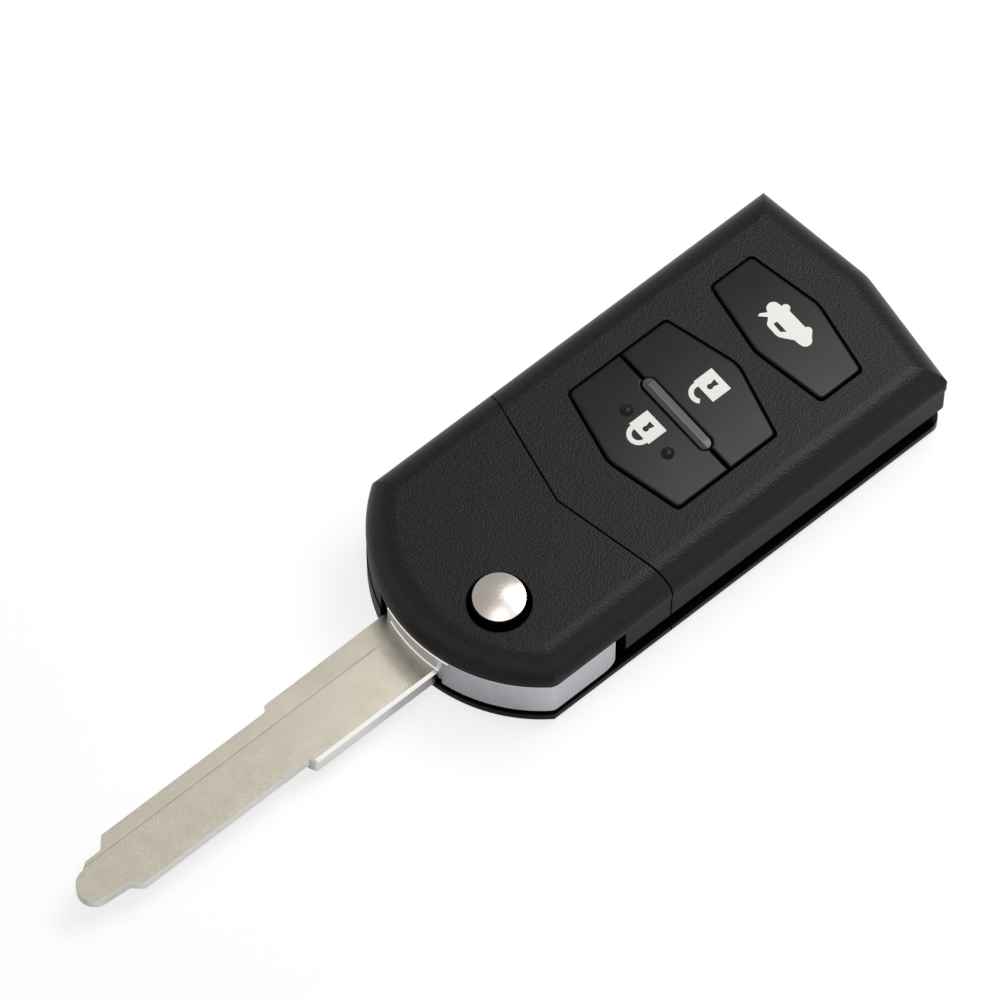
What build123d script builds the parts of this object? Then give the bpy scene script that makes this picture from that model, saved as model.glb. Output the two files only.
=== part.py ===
"""Folding key shell: a two-part case, a swing-out blade and three keys.

Units are millimetres, +Z is up, and the shell lies on its back.
The origin is where the axis of the swinging blade meets the back face.
+X runs along the case, away from the blade, and the blade slot is on the -Y side.
"""

from build123d import *
from math import cos, hypot, radians, sin, sqrt
import os

# Case envelope
CASE_THICKNESS = 15.6
CASE_WIDTH = 37.0
AXIS_TO_SLOT_SIDE = 12.1
NOSE_X = -10.3
FRONT_RADIUS = 22.7
FAR_APEX_X = 68.75
FAR_SLOPE = 0.125
TOP_ROUND = 4.0
BOTTOM_ROUND = 1.4
FRONT_CORNER_ROUND = 2.2
UPPER_CORNER_ROUND = 0.6
LOWER_CORNER_ROUND = 2.8
APEX_ROUND = 8.0
BAND_STEP = 0.12

# Walls
WALL = 1.6
FLOOR = 1.5
TOP_PLATE = 1.6
COVER_GAP = 0.1
FUSE = 0.3

# Chevron seam between the head and the remote
SEAM_APEX_X = 15.0
SEAM_SLOPE = 0.21
SEAM_GAP = 0.25

# Blade slot along the side
SLOT_FLOOR_Z = 2.4
SLOT_ROOF_Z = 5.75
SLOT_DEPTH = 11.5
SLOT_MOUTH_Y = -8.0
CHANNEL_WALL = 1.2
CHANNEL_START_X = 17.4
SHELF = 1.1
SLOT_START_X = 11.3

# Front opening of the head, where the holder shows
OPENING_HIGH_Y = 12.8
HEAD_RIM_Z = 10.7

# Blade holder that turns in the head
HOLDER_BOTTOM_Z = 2.65
HOLDER_TOP_Z = 10.5
HOLDER_INSET = 0.1
HOLDER_CORNER_ROUND = 1.6
HOLDER_EDGE_ROUND = 0.25
HOLDER_TAIL_ROUND = 1.8
SWING_GAP = 0.3
SKIRT_TOP_Z = 3.5
SKIRT_INSET = 1.0
MOUTH_RECESS = 0.4
MOUTH_RIM = 0.35
MOUTH_DEPTH = 1.5
MOUTH_LOW_Y = 0.35

# Bearings of the holder
BORE_RADIUS = 4.93
LOWER_COLLAR_RADIUS = 6.1
UPPER_COLLAR_RADIUS = 6.4
UPPER_COLLAR_TOP_Z = 11.6
RUNNING_FIT = 0.06
AXIAL_GAP = 0.1
BEARING_WALL = 1.3
WASHER_THICKNESS = 0.3
WASHER_WIDTH = 1.0
SWING_WALL = 1.2

# Release button
BUTTON_RADIUS = 3.5
BUTTON_HOLE_RADIUS = 4.3
BUTTON_RAISE = 2.0
BUTTON_TRAVEL = 2.0
BUTTON_EDGE_ROUND = 0.6
BUTTON_DOME = 0.45
BUTTON_FLANGE = 1.2
BUTTON_TOP_GAP = 0.15
BUTTON_SKIRT_WALL = 0.85
BUTTON_SKIRT_LENGTH = 4.3
BUTTON_STEM_RADIUS = 1.5
BUTTON_STEM_LENGTH = 4.4
SPLINE_REACH = 0.6
SPLINE_WIDTH = 1.4
SPLINE_LENGTH = 1.6
SPLINE_GAP = 0.1

# Flip spring and the post at its lower end
SPRING_COIL_RADIUS = 3.0
SPRING_WIRE_RADIUS = 0.4
SPRING_WIRE_SIDES = 8
SPRING_TURNS = 6
SPRING_END_GAP = 0.05
POST_RADIUS = 1.8
POST_HEIGHT = 4.4

# Key blade
BLADE_TOP_Z = 5.5
BASE_THICKNESS = 2.8
SHANK_THICKNESS = 1.9
BASE_LOW_Y = 1.3
BASE_HIGH_Y = 12.0
BASE_END_X = -29.5
SHANK_LOW_Y = 2.3
SHANK_HIGH_Y = 11.2
SHANK_END_X = -57.0
SHOULDER_SLANT = 0.5
SHOULDER_ROUND = 0.3
GROOVE_Y = 8.95
GROOVE_START_X = -12.3
GROOVE_DEPTH = 0.35
GROOVE_RUN = 12.0
NECK_LOW_Y = 3.6
NECK_HIGH_Y = 9.6
NECK_SLANT = 1.4
TIP_X = -62.0
TIP_Y = 6.3
TIP_RADIUS = 2.4
TIP_NECK_GAP = 1.1
NECK_ROUND = 0.5
TANG_LOW_Y = 3.4
TANG_HIGH_Y = 10.4
TANG_END_X = -5.2
BLADE_FIT = 0.05

# Roll pin through the tang
PIN_X = -7.1
PIN_Y = 6.9
PIN_RADIUS = 0.75
PIN_BORE_RADIUS = 0.35
PIN_TOP_Z = 8.6
PIN_FIT = 0.03

# Key windows in the remote's top
WINDOW_SIDE_MARGIN = 7.45
PAIR_NEAR_APEX_X = 23.7
PAIR_NEAR_SLOPE = 0.231
PAIR_FAR_APEX_X = 46.05
PAIR_FAR_SLOPE = 0.271
PAIR_SPLIT_X = 35.1
TRUNK_NEAR_APEX_X = 48.85
TRUNK_NEAR_SLOPE = 0.167
TRUNK_FAR_APEX_X = 59.9
TRUNK_FAR_SLOPE = 0.19
WINDOW_CORNER_ROUND = 0.8
WINDOW_APEX_ROUND = 5.0

# Keys
KEY_GAP = 0.36
KEY_RAISE = 0.25
KEY_EDGE_ROUND = 0.3
KEY_TRAVEL = 0.5
KEY_LIP = 0.9
KEY_LIP_THICKNESS = 0.75
KEY_LIP_GAP = 0.15
BUMP_RADIUS = 0.9
BUMP_HEIGHT = 0.5
BUMP_X = 30.4
BUMP_SPREAD = 4.1

# Indicator bar between the paired keys
BAR_WIDTH = 1.7
BAR_LENGTH = 12.8
BAR_SHIFT_Y = -0.4
BAR_RAISE = 0.7
BAR_GAP = 0.18
BAR_BEVEL = 0.35
BAR_SHOULDER = 0.5
BAR_SHOULDER_THICKNESS = 0.2

# Rubber mat under the keys
MAT_THICKNESS = 0.6
MAT_BORDER = 1.0
MAT_CLEARANCE = 0.35
MAT_BRIDGE_LOW_X = 40.0
MAT_BRIDGE_HIGH_X = 53.0
MAT_BRIDGE_HALF_WIDTH = 7.0
DOME_RADIUS = 2.2
DOME_HEIGHT = 0.15
DOME_GAP = 0.15
DOME_XS = (29.4, 40.4, 54.4)

# Frame that carries the circuit board
FRAME_WALL = 1.4
FRAME_NEAR_X = 21.6
FRAME_FAR_X = 59.2
FRAME_SIDE_GAP = 0.5
FRAME_LEDGE = 0.9
FRAME_LEDGE_THICKNESS = 1.0
FRAME_RIB_WIDTH = 1.2
FRAME_RIB_REACH = 2.4
FRAME_RIB_XS = (28.5, 35.0, 53.0)

# Clip for the transponder chip
CLIP_X = 7.1
CLIP_SIDE_INSET = 4.5
CLIP_LENGTH = 9.6
CLIP_WIDTH = 4.8
CLIP_WALL = 0.8
CLIP_HEIGHT = 3.4

# Screws
SCREW_HEAD_RADIUS = 1.6
SCREW_HEAD_HEIGHT = 0.9
SCREW_SHANK_RADIUS = 0.75
SCREW_SINK = 0.1
SCREW_HEAD_GAP = 0.15
SCREW_SHANK_GAP = 0.1
THREAD_GAP = 0.03
CASE_SCREW_LENGTH = 8.0
JOINING_SCREW_LENGTH = 4.0
SCREW_POST_RADIUS = 1.85
SCREW_SIDE_INSET = 4.3
HEAD_SCREW_XS = (-0.4, 14.6)
MIDDLE_SCREW_END_INSET = 4.4
MIDDLE_SCREW_Y = 3.6
CORNER_SCREW_END_INSET = 5.6
JOINING_SCREW_X = 23.6
JOINING_SCREW_LOW_Y = 6.0
JOINING_SCREW_SIDE_INSET = 5.9

# Tongue of the head that the remote is screwed to
TONGUE_THICKNESS = 1.6
TONGUE_FAR_X = 26.6
TONGUE_LOW_Y = 2.6
TONGUE_SIDE_GAP = 0.4
TONGUE_BOSS_TOP_Z = 5.3

# Coin cover of the battery
COVER_X = 43.5
COVER_RADIUS = 9.6
COVER_FLANGE = 0.75
COVER_SINK = 0.05
COVER_DISC = 1.35
COVER_NECK_RADIUS = 8.5
COVER_NECK_WALL = 1.2
COVER_FIT = 0.08
COVER_TABS = 3
COVER_TAB_REACH = 0.8
COVER_TAB_THICKNESS = 0.7
COVER_TAB_ANGLE = 34.0
COVER_TAB_GAP = 0.12
COVER_NOTCH_EXTRA = 6.0
COVER_TURN = 50.0
COIN_SLOT_LENGTH = 12.0
COIN_SLOT_WIDTH = 1.8
COIN_SLOT_DEPTH = 0.6
SEAL_WIDTH = 0.45
SEAL_THICKNESS = 0.45

# Levels and sides that follow from the sizes above
HALF_WIDTH = CASE_WIDTH / 2
CENTRE_LINE_Y = HALF_WIDTH - AXIS_TO_SLOT_SIDE
SLOT_SIDE_Y = CENTRE_LINE_Y - HALF_WIDTH
FAR_SIDE_Y = CENTRE_LINE_Y + HALF_WIDTH
FRONT_CENTRE_X = NOSE_X + FRONT_RADIUS
PLATE_UNDER_Z = CASE_THICKNESS - TOP_PLATE
SHELF_TOP_Z = SLOT_ROOF_Z + SHELF
CHANNEL_Y = SLOT_SIDE_Y + SLOT_DEPTH
CLIP_Y = FAR_SIDE_Y - CLIP_SIDE_INSET
COVER_Y = (CHANNEL_Y + CHANNEL_WALL + FAR_SIDE_Y - WALL) / 2
WINDOW_HALF_WIDTH = HALF_WIDTH - WINDOW_SIDE_MARGIN
BAR_Y = CENTRE_LINE_Y + BAR_SHIFT_Y
KEY_LIP_TOP_Z = PLATE_UNDER_Z - KEY_LIP_GAP
KEY_BOTTOM_Z = KEY_LIP_TOP_Z - KEY_LIP_THICKNESS
KEY_TOP_Z = CASE_THICKNESS + KEY_RAISE
MAT_TOP_Z = KEY_BOTTOM_Z - KEY_TRAVEL - DOME_GAP - DOME_HEIGHT
MAT_BOTTOM_Z = MAT_TOP_Z - MAT_THICKNESS
BUTTON_FLANGE_TOP_Z = PLATE_UNDER_Z - BUTTON_TOP_GAP
BUTTON_UNDER_Z = BUTTON_FLANGE_TOP_Z - BUTTON_FLANGE
KEY_GROW = -KEY_GAP / 2
LIP_GROW = KEY_GROW + KEY_LIP
MAT_INNER_GROW = LIP_GROW + MAT_CLEARANCE
MAT_OUTER_GROW = MAT_INNER_GROW + MAT_BORDER
REACH = 200.0

# Places of the screws
SCREW_SIDE_Y = FAR_SIDE_Y - SCREW_SIDE_INSET
HEAD_SCREW_PLACES = [(x, SCREW_SIDE_Y) for x in HEAD_SCREW_XS]
REMOTE_SCREW_PLACES = [
    (FAR_APEX_X - MIDDLE_SCREW_END_INSET, MIDDLE_SCREW_Y),
    (FAR_APEX_X - CORNER_SCREW_END_INSET, SCREW_SIDE_Y)]
JOINING_SCREW_PLACES = [
    (JOINING_SCREW_X, JOINING_SCREW_LOW_Y),
    (JOINING_SCREW_X, FAR_SIDE_Y - JOINING_SCREW_SIDE_INSET)]

# The holder's outline mirrors the head's front about the turning axis
HOLDER_SIDE_Y = SLOT_SIDE_Y + HOLDER_INSET
HOLDER_FRONT_RADIUS = FRONT_RADIUS - HOLDER_INSET
HOLDER_CORNER_X = FRONT_CENTRE_X - sqrt(
    HOLDER_FRONT_RADIUS ** 2 - (-HOLDER_SIDE_Y - CENTRE_LINE_Y) ** 2)
SWING_RADIUS = hypot(HOLDER_CORNER_X, HOLDER_SIDE_Y) + SWING_GAP


def prism(plan, low, high):
    """A plan drawn at height zero, raised from low to high."""
    return extrude(Pos(0, 0, low) * plan, high - low)


def block(x_range, y_range, z_range):
    """A box given by its limits along each axis."""
    middle = [(limits[0] + limits[1]) / 2 for limits in (x_range, y_range, z_range)]
    size = [limits[1] - limits[0] for limits in (x_range, y_range, z_range)]
    return Pos(*middle) * Box(*size)


def rod(x, y, radius, low, high):
    """An upright round bar."""
    upright = (Align.CENTER, Align.CENTER, Align.MIN)
    return Pos(x, y, low) * Cylinder(radius, high - low, align=upright)


def ring(x, y, inner, outer, low, high):
    """An upright round tube."""
    return rod(x, y, outer, low, high) - rod(x, y, inner, low - 1, high + 1)


def case_plan(inset):
    """Outline of the case, moved inwards by inset, with its corners left sharp."""
    half = HALF_WIDTH - inset
    radius = FRONT_RADIUS - inset
    front_x = FRONT_CENTRE_X - sqrt(radius ** 2 - half ** 2)
    apex_x = FAR_APEX_X - inset * hypot(1, FAR_SLOPE)
    corner_x = apex_x - FAR_SLOPE * half
    low_y = CENTRE_LINE_Y - half
    high_y = CENTRE_LINE_Y + half
    ends = Polyline(
        (front_x, low_y), (corner_x, low_y), (apex_x, CENTRE_LINE_Y),
        (corner_x, high_y), (front_x, high_y))
    nose = ThreePointArc(
        (front_x, high_y), (FRONT_CENTRE_X - radius, CENTRE_LINE_Y), (front_x, low_y))
    return make_face(ends + nose)


def eased_plan(inset, far_round):
    """Outline of the case with its front corners and apex rounded, and its far corners by far_round."""
    corners = case_plan(inset).vertices().sort_by(Axis.X)
    plan = fillet(corners[-1], APEX_ROUND - inset)
    for spots, radius in ((slice(0, 2), FRONT_CORNER_ROUND - inset), (slice(-2, None), far_round)):
        sides = [v for v in plan.vertices().sort_by(Axis.X)
                 if abs(v.Y - CENTRE_LINE_Y) > HALF_WIDTH - inset - FUSE]
        plan = fillet(sides[spots], radius)
    return plan


def top_edges(solid):
    """The edges of the highest face."""
    return solid.faces().sort_by(Axis.Z)[-1].edges()


def bottom_edges(solid):
    """The edges of the lowest face."""
    return solid.faces().sort_by(Axis.Z)[0].edges()


def case_form(inset, z_range, top_round, bottom_round):
    """Form of the case, moved inwards by inset: long sides, nose and far end, mitred together."""
    half = HALF_WIDTH - inset
    apex_x = FAR_APEX_X - inset * hypot(1, FAR_SLOPE)
    end_x = apex_x - FAR_SLOPE * REACH
    low_y = CENTRE_LINE_Y - REACH
    high_y = CENTRE_LINE_Y + REACH
    sides = block((-REACH, REACH), (CENTRE_LINE_Y - half, CENTRE_LINE_Y + half), z_range)
    nose = rod(FRONT_CENTRE_X, CENTRE_LINE_Y, FRONT_RADIUS - inset, *z_range)
    far_end = prism(make_face(Polyline(
        (-REACH, low_y), (end_x, low_y), (apex_x, CENTRE_LINE_Y),
        (end_x, high_y), (-REACH, high_y), close=True)), *z_range)
    far_end = fillet(far_end.edges().filter_by(Axis.Z).sort_by(Axis.X)[-1], APEX_ROUND - inset)
    for rim, radius in ((top_edges, top_round), (bottom_edges, bottom_round)):
        if radius:
            sides = fillet(rim(sides).filter_by(Axis.X), radius)
            nose = fillet(rim(nose), radius)
            far_end = fillet([e for e in rim(far_end) if e.center().X > 0], radius)
    nose += block((FRONT_CENTRE_X, REACH), (low_y, high_y), z_range)
    return sides & nose & far_end


def case_envelope():
    """Outside form of the closed case, with a shallow step around the band below its top."""
    form = case_form(0, (0, CASE_THICKNESS), TOP_ROUND, BOTTOM_ROUND)
    lower = form & prism(eased_plan(0, LOWER_CORNER_ROUND), 0, SLOT_ROOF_Z)
    band = form & prism(eased_plan(BAND_STEP, UPPER_CORNER_ROUND), SLOT_ROOF_Z, HEAD_RIM_Z)
    upper = form & prism(eased_plan(0, UPPER_CORNER_ROUND), HEAD_RIM_Z, CASE_THICKNESS + 1)
    return lower + band + upper


def case_cavity():
    """Inside form of the closed case."""
    form = case_form(WALL, (FLOOR, PLATE_UNDER_Z), TOP_ROUND - TOP_PLATE, 0)
    return form & prism(eased_plan(WALL, UPPER_CORNER_ROUND), FLOOR, PLATE_UNDER_Z)


def seam_half(towards, gap, low, high):
    """The space on one side of the chevron seam; towards is -1 for the head, 1 for the remote."""
    apex_x = SEAM_APEX_X + gap
    side_x = apex_x + SEAM_SLOPE * REACH
    end_x = side_x if towards < 0 else REACH + side_x
    points = [
        (-REACH, CENTRE_LINE_Y - REACH), (side_x, CENTRE_LINE_Y - REACH), (apex_x, CENTRE_LINE_Y),
        (side_x, CENTRE_LINE_Y + REACH), (-REACH, CENTRE_LINE_Y + REACH)]
    if towards > 0:
        points[0] = (end_x, CENTRE_LINE_Y - REACH)
        points[-1] = (end_x, CENTRE_LINE_Y + REACH)
    return prism(make_face(Polyline(*points, close=True)), low, high)


def window_plan(near_apex_x, near_slope, far_apex_x, far_slope, grow):
    """Six-sided key outline, grown outwards by grow, with eased corners."""
    half = WINDOW_HALF_WIDTH + grow
    near_apex = near_apex_x - grow * hypot(1, near_slope)
    far_apex = far_apex_x + grow * hypot(1, far_slope)
    near_x = near_apex + near_slope * half
    far_x = far_apex - far_slope * half
    low_y = CENTRE_LINE_Y - half
    high_y = CENTRE_LINE_Y + half
    plan = make_face(Polyline(
        (near_apex, CENTRE_LINE_Y), (near_x, low_y), (far_x, low_y),
        (far_apex, CENTRE_LINE_Y), (far_x, high_y), (near_x, high_y), close=True))
    by_x = plan.vertices().sort_by(Axis.X)
    plan = fillet([by_x[0], by_x[-1]], WINDOW_APEX_ROUND)
    sides = [v for v in plan.vertices() if abs(abs(v.Y - CENTRE_LINE_Y) - half) < 1e-6]
    return fillet(sides, WINDOW_CORNER_ROUND)


def pair_plan(grow):
    """Outline shared by the lock and unlock keys."""
    return window_plan(
        PAIR_NEAR_APEX_X, PAIR_NEAR_SLOPE, PAIR_FAR_APEX_X, PAIR_FAR_SLOPE, grow)


def trunk_plan(grow):
    """Outline of the trunk key."""
    return window_plan(
        TRUNK_NEAR_APEX_X, TRUNK_NEAR_SLOPE, TRUNK_FAR_APEX_X, TRUNK_FAR_SLOPE, grow)


def holder_plan(inset):
    """Outline of the blade holder, the same after half a turn, moved inwards by inset."""
    radius = HOLDER_FRONT_RADIUS - inset
    side_y = HOLDER_SIDE_Y + inset
    nose = Pos(FRONT_CENTRE_X, CENTRE_LINE_Y) * Circle(radius)
    tail = Pos(-FRONT_CENTRE_X, -CENTRE_LINE_Y) * Circle(radius)
    strip = Rectangle(REACH, -2 * side_y)
    plan = nose & tail & strip
    by_y = plan.vertices().sort_by(Axis.Y)
    blunt = [by_y[:2].sort_by(Axis.X)[0], by_y[-2:].sort_by(Axis.X)[-1]]
    return fillet(blunt, HOLDER_CORNER_ROUND)


def blade_slot():
    """Space that the folded blade needs along the side of the case."""
    z_range = (SLOT_FLOOR_Z, SLOT_ROOF_Z)
    inner_far_x = FAR_APEX_X - WALL - FAR_SLOPE * HALF_WIDTH
    along = block((0, inner_far_x), (SLOT_SIDE_Y - 1, CHANNEL_Y), z_range)
    mouth = block((inner_far_x - 1, REACH), (SLOT_SIDE_Y - 1, SLOT_MOUTH_Y), z_range)
    return along + mouth


def front_opening():
    """Window in the head's rounded front, where the holder shows."""
    return block(
        (-REACH, SLOT_START_X), (-REACH, OPENING_HIGH_Y), (SLOT_FLOOR_Z, HEAD_RIM_Z))


def swing_space():
    """Round space swept by the turning holder."""
    return rod(0, 0, SWING_RADIUS, SLOT_FLOOR_Z, HEAD_RIM_Z)


def swing_wall(low, high, low_y):
    """Curved wall of the head behind the holder, above low_y."""
    curve = ring(0, 0, SWING_RADIUS, SWING_RADIUS + SWING_WALL, low, high)
    inside = prism(case_plan(WALL - FUSE), low, high)
    beyond = block((-REACH, REACH), (low_y, REACH), (low, high))
    return curve & inside & beyond


def screw_post(place, low, pilot_top):
    """Post under the top plate, bored for a screw up to pilot_top."""
    x, y = place
    post = rod(x, y, SCREW_POST_RADIUS, low, PLATE_UNDER_Z + FUSE)
    return post - rod(x, y, SCREW_SHANK_RADIUS + THREAD_GAP, low - 1, pilot_top)


def screw_hole(place):
    """Countersunk passage for a screw through the floor."""
    x, y = place
    head_room = rod(
        x, y, SCREW_HEAD_RADIUS + SCREW_HEAD_GAP, -1, SCREW_SINK + SCREW_HEAD_HEIGHT)
    shank_room = rod(x, y, SCREW_SHANK_RADIUS + SCREW_SHANK_GAP, -1, FLOOR + 1)
    return head_room + shank_room


def screw(place, length):
    """Pan-headed screw, driven from the back."""
    x, y = place
    head_top = SCREW_SINK + SCREW_HEAD_HEIGHT
    head = rod(x, y, SCREW_HEAD_RADIUS, SCREW_SINK, head_top)
    head = chamfer(bottom_edges(head), SCREW_HEAD_HEIGHT / 3)
    shank = rod(x, y, SCREW_SHANK_RADIUS, head_top, head_top + length)
    return head + shank


def screw_group(places, length):
    """Several like screws, kept as separate solids."""
    return Compound(children=[screw(place, length) for place in places])


def make_head_bottom_cover(shell):
    """Lower half of the head: floor, rim, side wall, lower bearing and joining tongue."""
    top_z = SLOT_ROOF_Z - COVER_GAP
    cover = shell & seam_half(-1, 0, -1, top_z)
    cover -= front_opening() + blade_slot() + swing_space()
    wall_low_y = CHANNEL_Y + CHANNEL_WALL
    clear_z = FLOOR + COVER_GAP
    tongue = block(
        (0, TONGUE_FAR_X), (TONGUE_LOW_Y, FAR_SIDE_Y - WALL - TONGUE_SIDE_GAP),
        (clear_z, clear_z + TONGUE_THICKNESS))
    tongue += swing_wall(clear_z, top_z, wall_low_y)
    root = tongue & seam_half(-1, 0, clear_z, clear_z + FUSE)
    tongue += Pos(0, 0, -FUSE) * root
    for x, y in JOINING_SCREW_PLACES:
        tongue += rod(x, y, SCREW_POST_RADIUS, clear_z, TONGUE_BOSS_TOP_Z)
        tongue -= rod(x, y, SCREW_SHANK_RADIUS + THREAD_GAP, clear_z - 1, TONGUE_BOSS_TOP_Z + 1)
    tongue -= swing_space()
    tongue -= rod(0, 0, SWING_RADIUS, 0, SLOT_FLOOR_Z)
    for x, y in HEAD_SCREW_PLACES:
        tongue -= rod(x, y, SCREW_POST_RADIUS + SCREW_SHANK_GAP, clear_z - 1, top_z + 1)
    tongue -= clip_room()
    cover += tongue
    bearing = LOWER_COLLAR_RADIUS + RUNNING_FIT
    cover += ring(0, 0, bearing, bearing + BEARING_WALL, FLOOR - FUSE, SLOT_FLOOR_Z)
    cover += rod(0, 0, POST_RADIUS, FLOOR - FUSE, FLOOR + POST_HEIGHT)
    for place in HEAD_SCREW_PLACES:
        cover -= screw_hole(place)
    return cover


def make_head_top_cover(shell):
    """Upper half of the head: top plate, rim, side walls and upper bearing."""
    cover = shell & seam_half(-1, 0, SLOT_ROOF_Z, REACH)
    cover -= front_opening()
    cover += swing_wall(SLOT_ROOF_Z, PLATE_UNDER_Z - COVER_GAP, -REACH) & seam_half(
        -1, SEAM_GAP + SWING_WALL, SLOT_ROOF_Z, PLATE_UNDER_Z)
    root = swing_wall(PLATE_UNDER_Z - FUSE, PLATE_UNDER_Z + FUSE, -REACH)
    cover += root & seam_half(-1, 0, PLATE_UNDER_Z - FUSE, PLATE_UNDER_Z + FUSE)
    shelf = block(
        (SLOT_START_X, REACH), (SLOT_SIDE_Y + FUSE, CHANNEL_Y + CHANNEL_WALL),
        (SLOT_ROOF_Z, SHELF_TOP_Z))
    cover += shelf & seam_half(-1, 0, SLOT_ROOF_Z, SHELF_TOP_Z)
    bearing = UPPER_COLLAR_RADIUS + RUNNING_FIT
    cover += ring(0, 0, bearing, bearing + BEARING_WALL, HEAD_RIM_Z, PLATE_UNDER_Z + FUSE)
    cover -= swing_space()
    cover -= rod(0, 0, BUTTON_HOLE_RADIUS, HEAD_RIM_Z, REACH)
    pilot_top = SCREW_SINK + SCREW_HEAD_HEIGHT + CASE_SCREW_LENGTH + SCREW_SHANK_GAP
    for place in HEAD_SCREW_PLACES:
        cover += screw_post(place, FLOOR + COVER_GAP, pilot_top)
    return cover


def make_remote_bottom_cover(shell):
    """Lower half of the remote: floor, walls, slot wall and battery hatch."""
    top_z = SLOT_ROOF_Z - COVER_GAP
    cover = shell & seam_half(1, SEAM_GAP, -1, top_z)
    cover -= blade_slot()
    channel = block(
        (CHANNEL_START_X, REACH), (CHANNEL_Y, CHANNEL_Y + CHANNEL_WALL), (FLOOR - FUSE, top_z))
    ribs = [
        block((x - FRAME_RIB_WIDTH / 2, x + FRAME_RIB_WIDTH / 2),
              (FAR_SIDE_Y - WALL - FRAME_RIB_REACH, FAR_SIDE_Y - WALL + FUSE),
              (FLOOR - FUSE, top_z))
        for x in FRAME_RIB_XS]
    stands = [
        block((x - FRAME_RIB_WIDTH / 2, x + FRAME_RIB_WIDTH / 2),
              (FAR_SIDE_Y - WALL - FRAME_RIB_REACH, FAR_SIDE_Y - WALL - FRAME_SIDE_GAP),
              (top_z - FUSE, SHELF_TOP_Z))
        for x in FRAME_RIB_XS]
    added = channel + ribs + stands
    cover += added & prism(case_plan(WALL - FUSE), FLOOR - FUSE, REACH)
    for place in JOINING_SCREW_PLACES + REMOTE_SCREW_PLACES:
        cover -= screw_hole(place)
    flange_top = COVER_SINK + COVER_FLANGE + COVER_FIT
    cover -= rod(COVER_X, COVER_Y, COVER_RADIUS + COVER_FIT, -1, flange_top)
    cover -= rod(COVER_X, COVER_Y, COVER_NECK_RADIUS + COVER_FIT, -1, FLOOR + 1)
    notch_outer = COVER_NECK_RADIUS + COVER_TAB_REACH + COVER_FIT
    cover -= cover_tabs(
        notch_outer, COVER_TAB_ANGLE + COVER_NOTCH_EXTRA, -COVER_TURN, flange_top, FLOOR + FUSE)
    return cover


def make_remote_top_cover(shell):
    """Upper half of the remote: top plate with the key windows, walls and slot roof."""
    cover = shell & seam_half(1, SEAM_GAP, SLOT_ROOF_Z, REACH)
    shelf = block(
        (CHANNEL_START_X, REACH), (-REACH, CHANNEL_Y + CHANNEL_WALL), (SLOT_ROOF_Z, SHELF_TOP_Z))
    shelf &= prism(case_plan(WALL - FUSE), SLOT_ROOF_Z, SHELF_TOP_Z)
    cover += shelf & seam_half(1, SEAM_GAP, SLOT_ROOF_Z, SHELF_TOP_Z)
    pilot_top = SCREW_SINK + SCREW_HEAD_HEIGHT + CASE_SCREW_LENGTH + SCREW_SHANK_GAP
    for place in REMOTE_SCREW_PLACES:
        cover += screw_post(place, FLOOR + COVER_GAP, pilot_top)
    cover -= prism(pair_plan(KEY_GAP / 2), MAT_TOP_Z, REACH)
    cover -= prism(trunk_plan(KEY_GAP / 2), MAT_TOP_Z, REACH)
    return cover


def make_blade_holder():
    """Silver holder that carries the blade and turns in the head."""
    body = prism(holder_plan(0), SKIRT_TOP_Z, HOLDER_TOP_Z)
    body = fillet(bottom_edges(body).sort_by(Axis.X)[-1], HOLDER_TAIL_ROUND)
    body = fillet(top_edges(body), HOLDER_EDGE_ROUND)
    body += prism(holder_plan(SKIRT_INSET), HOLDER_BOTTOM_Z, SKIRT_TOP_Z + HOLDER_TAIL_ROUND)
    front = block((-REACH, 0), (MOUTH_LOW_Y, REACH), (0, HOLDER_TOP_Z - MOUTH_RIM))
    body -= front - prism(holder_plan(MOUTH_RECESS), 0, REACH)
    mouth = block(
        (-REACH, 0), (BASE_LOW_Y - BLADE_FIT, REACH), (HOLDER_BOTTOM_Z - 1, BLADE_TOP_Z + BLADE_FIT))
    body -= mouth - prism(holder_plan(MOUTH_RECESS + MOUTH_DEPTH), 0, REACH)
    collar_bottom = FLOOR + WASHER_THICKNESS + AXIAL_GAP
    body += rod(0, 0, LOWER_COLLAR_RADIUS, collar_bottom, HOLDER_BOTTOM_Z + FUSE)
    body += rod(0, 0, UPPER_COLLAR_RADIUS, HOLDER_TOP_Z - FUSE, UPPER_COLLAR_TOP_Z)
    body -= block(
        (-REACH, TANG_END_X + BLADE_FIT), (TANG_LOW_Y - BLADE_FIT, TANG_HIGH_Y + BLADE_FIT),
        (HOLDER_BOTTOM_Z, BLADE_TOP_Z + BLADE_FIT))
    body -= rod(0, 0, BORE_RADIUS, 0, REACH)
    groove_top = BUTTON_FLANGE_TOP_Z - BUTTON_SKIRT_LENGTH - BUTTON_TRAVEL - SPLINE_GAP
    body -= block(
        (-BORE_RADIUS - SPLINE_REACH - SPLINE_GAP, BORE_RADIUS + SPLINE_REACH + SPLINE_GAP),
        (-SPLINE_WIDTH / 2 - SPLINE_GAP, SPLINE_WIDTH / 2 + SPLINE_GAP),
        (groove_top, REACH))
    body -= rod(PIN_X, PIN_Y, PIN_RADIUS + PIN_FIT, 0, PIN_TOP_Z + PIN_FIT)
    return body


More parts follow.
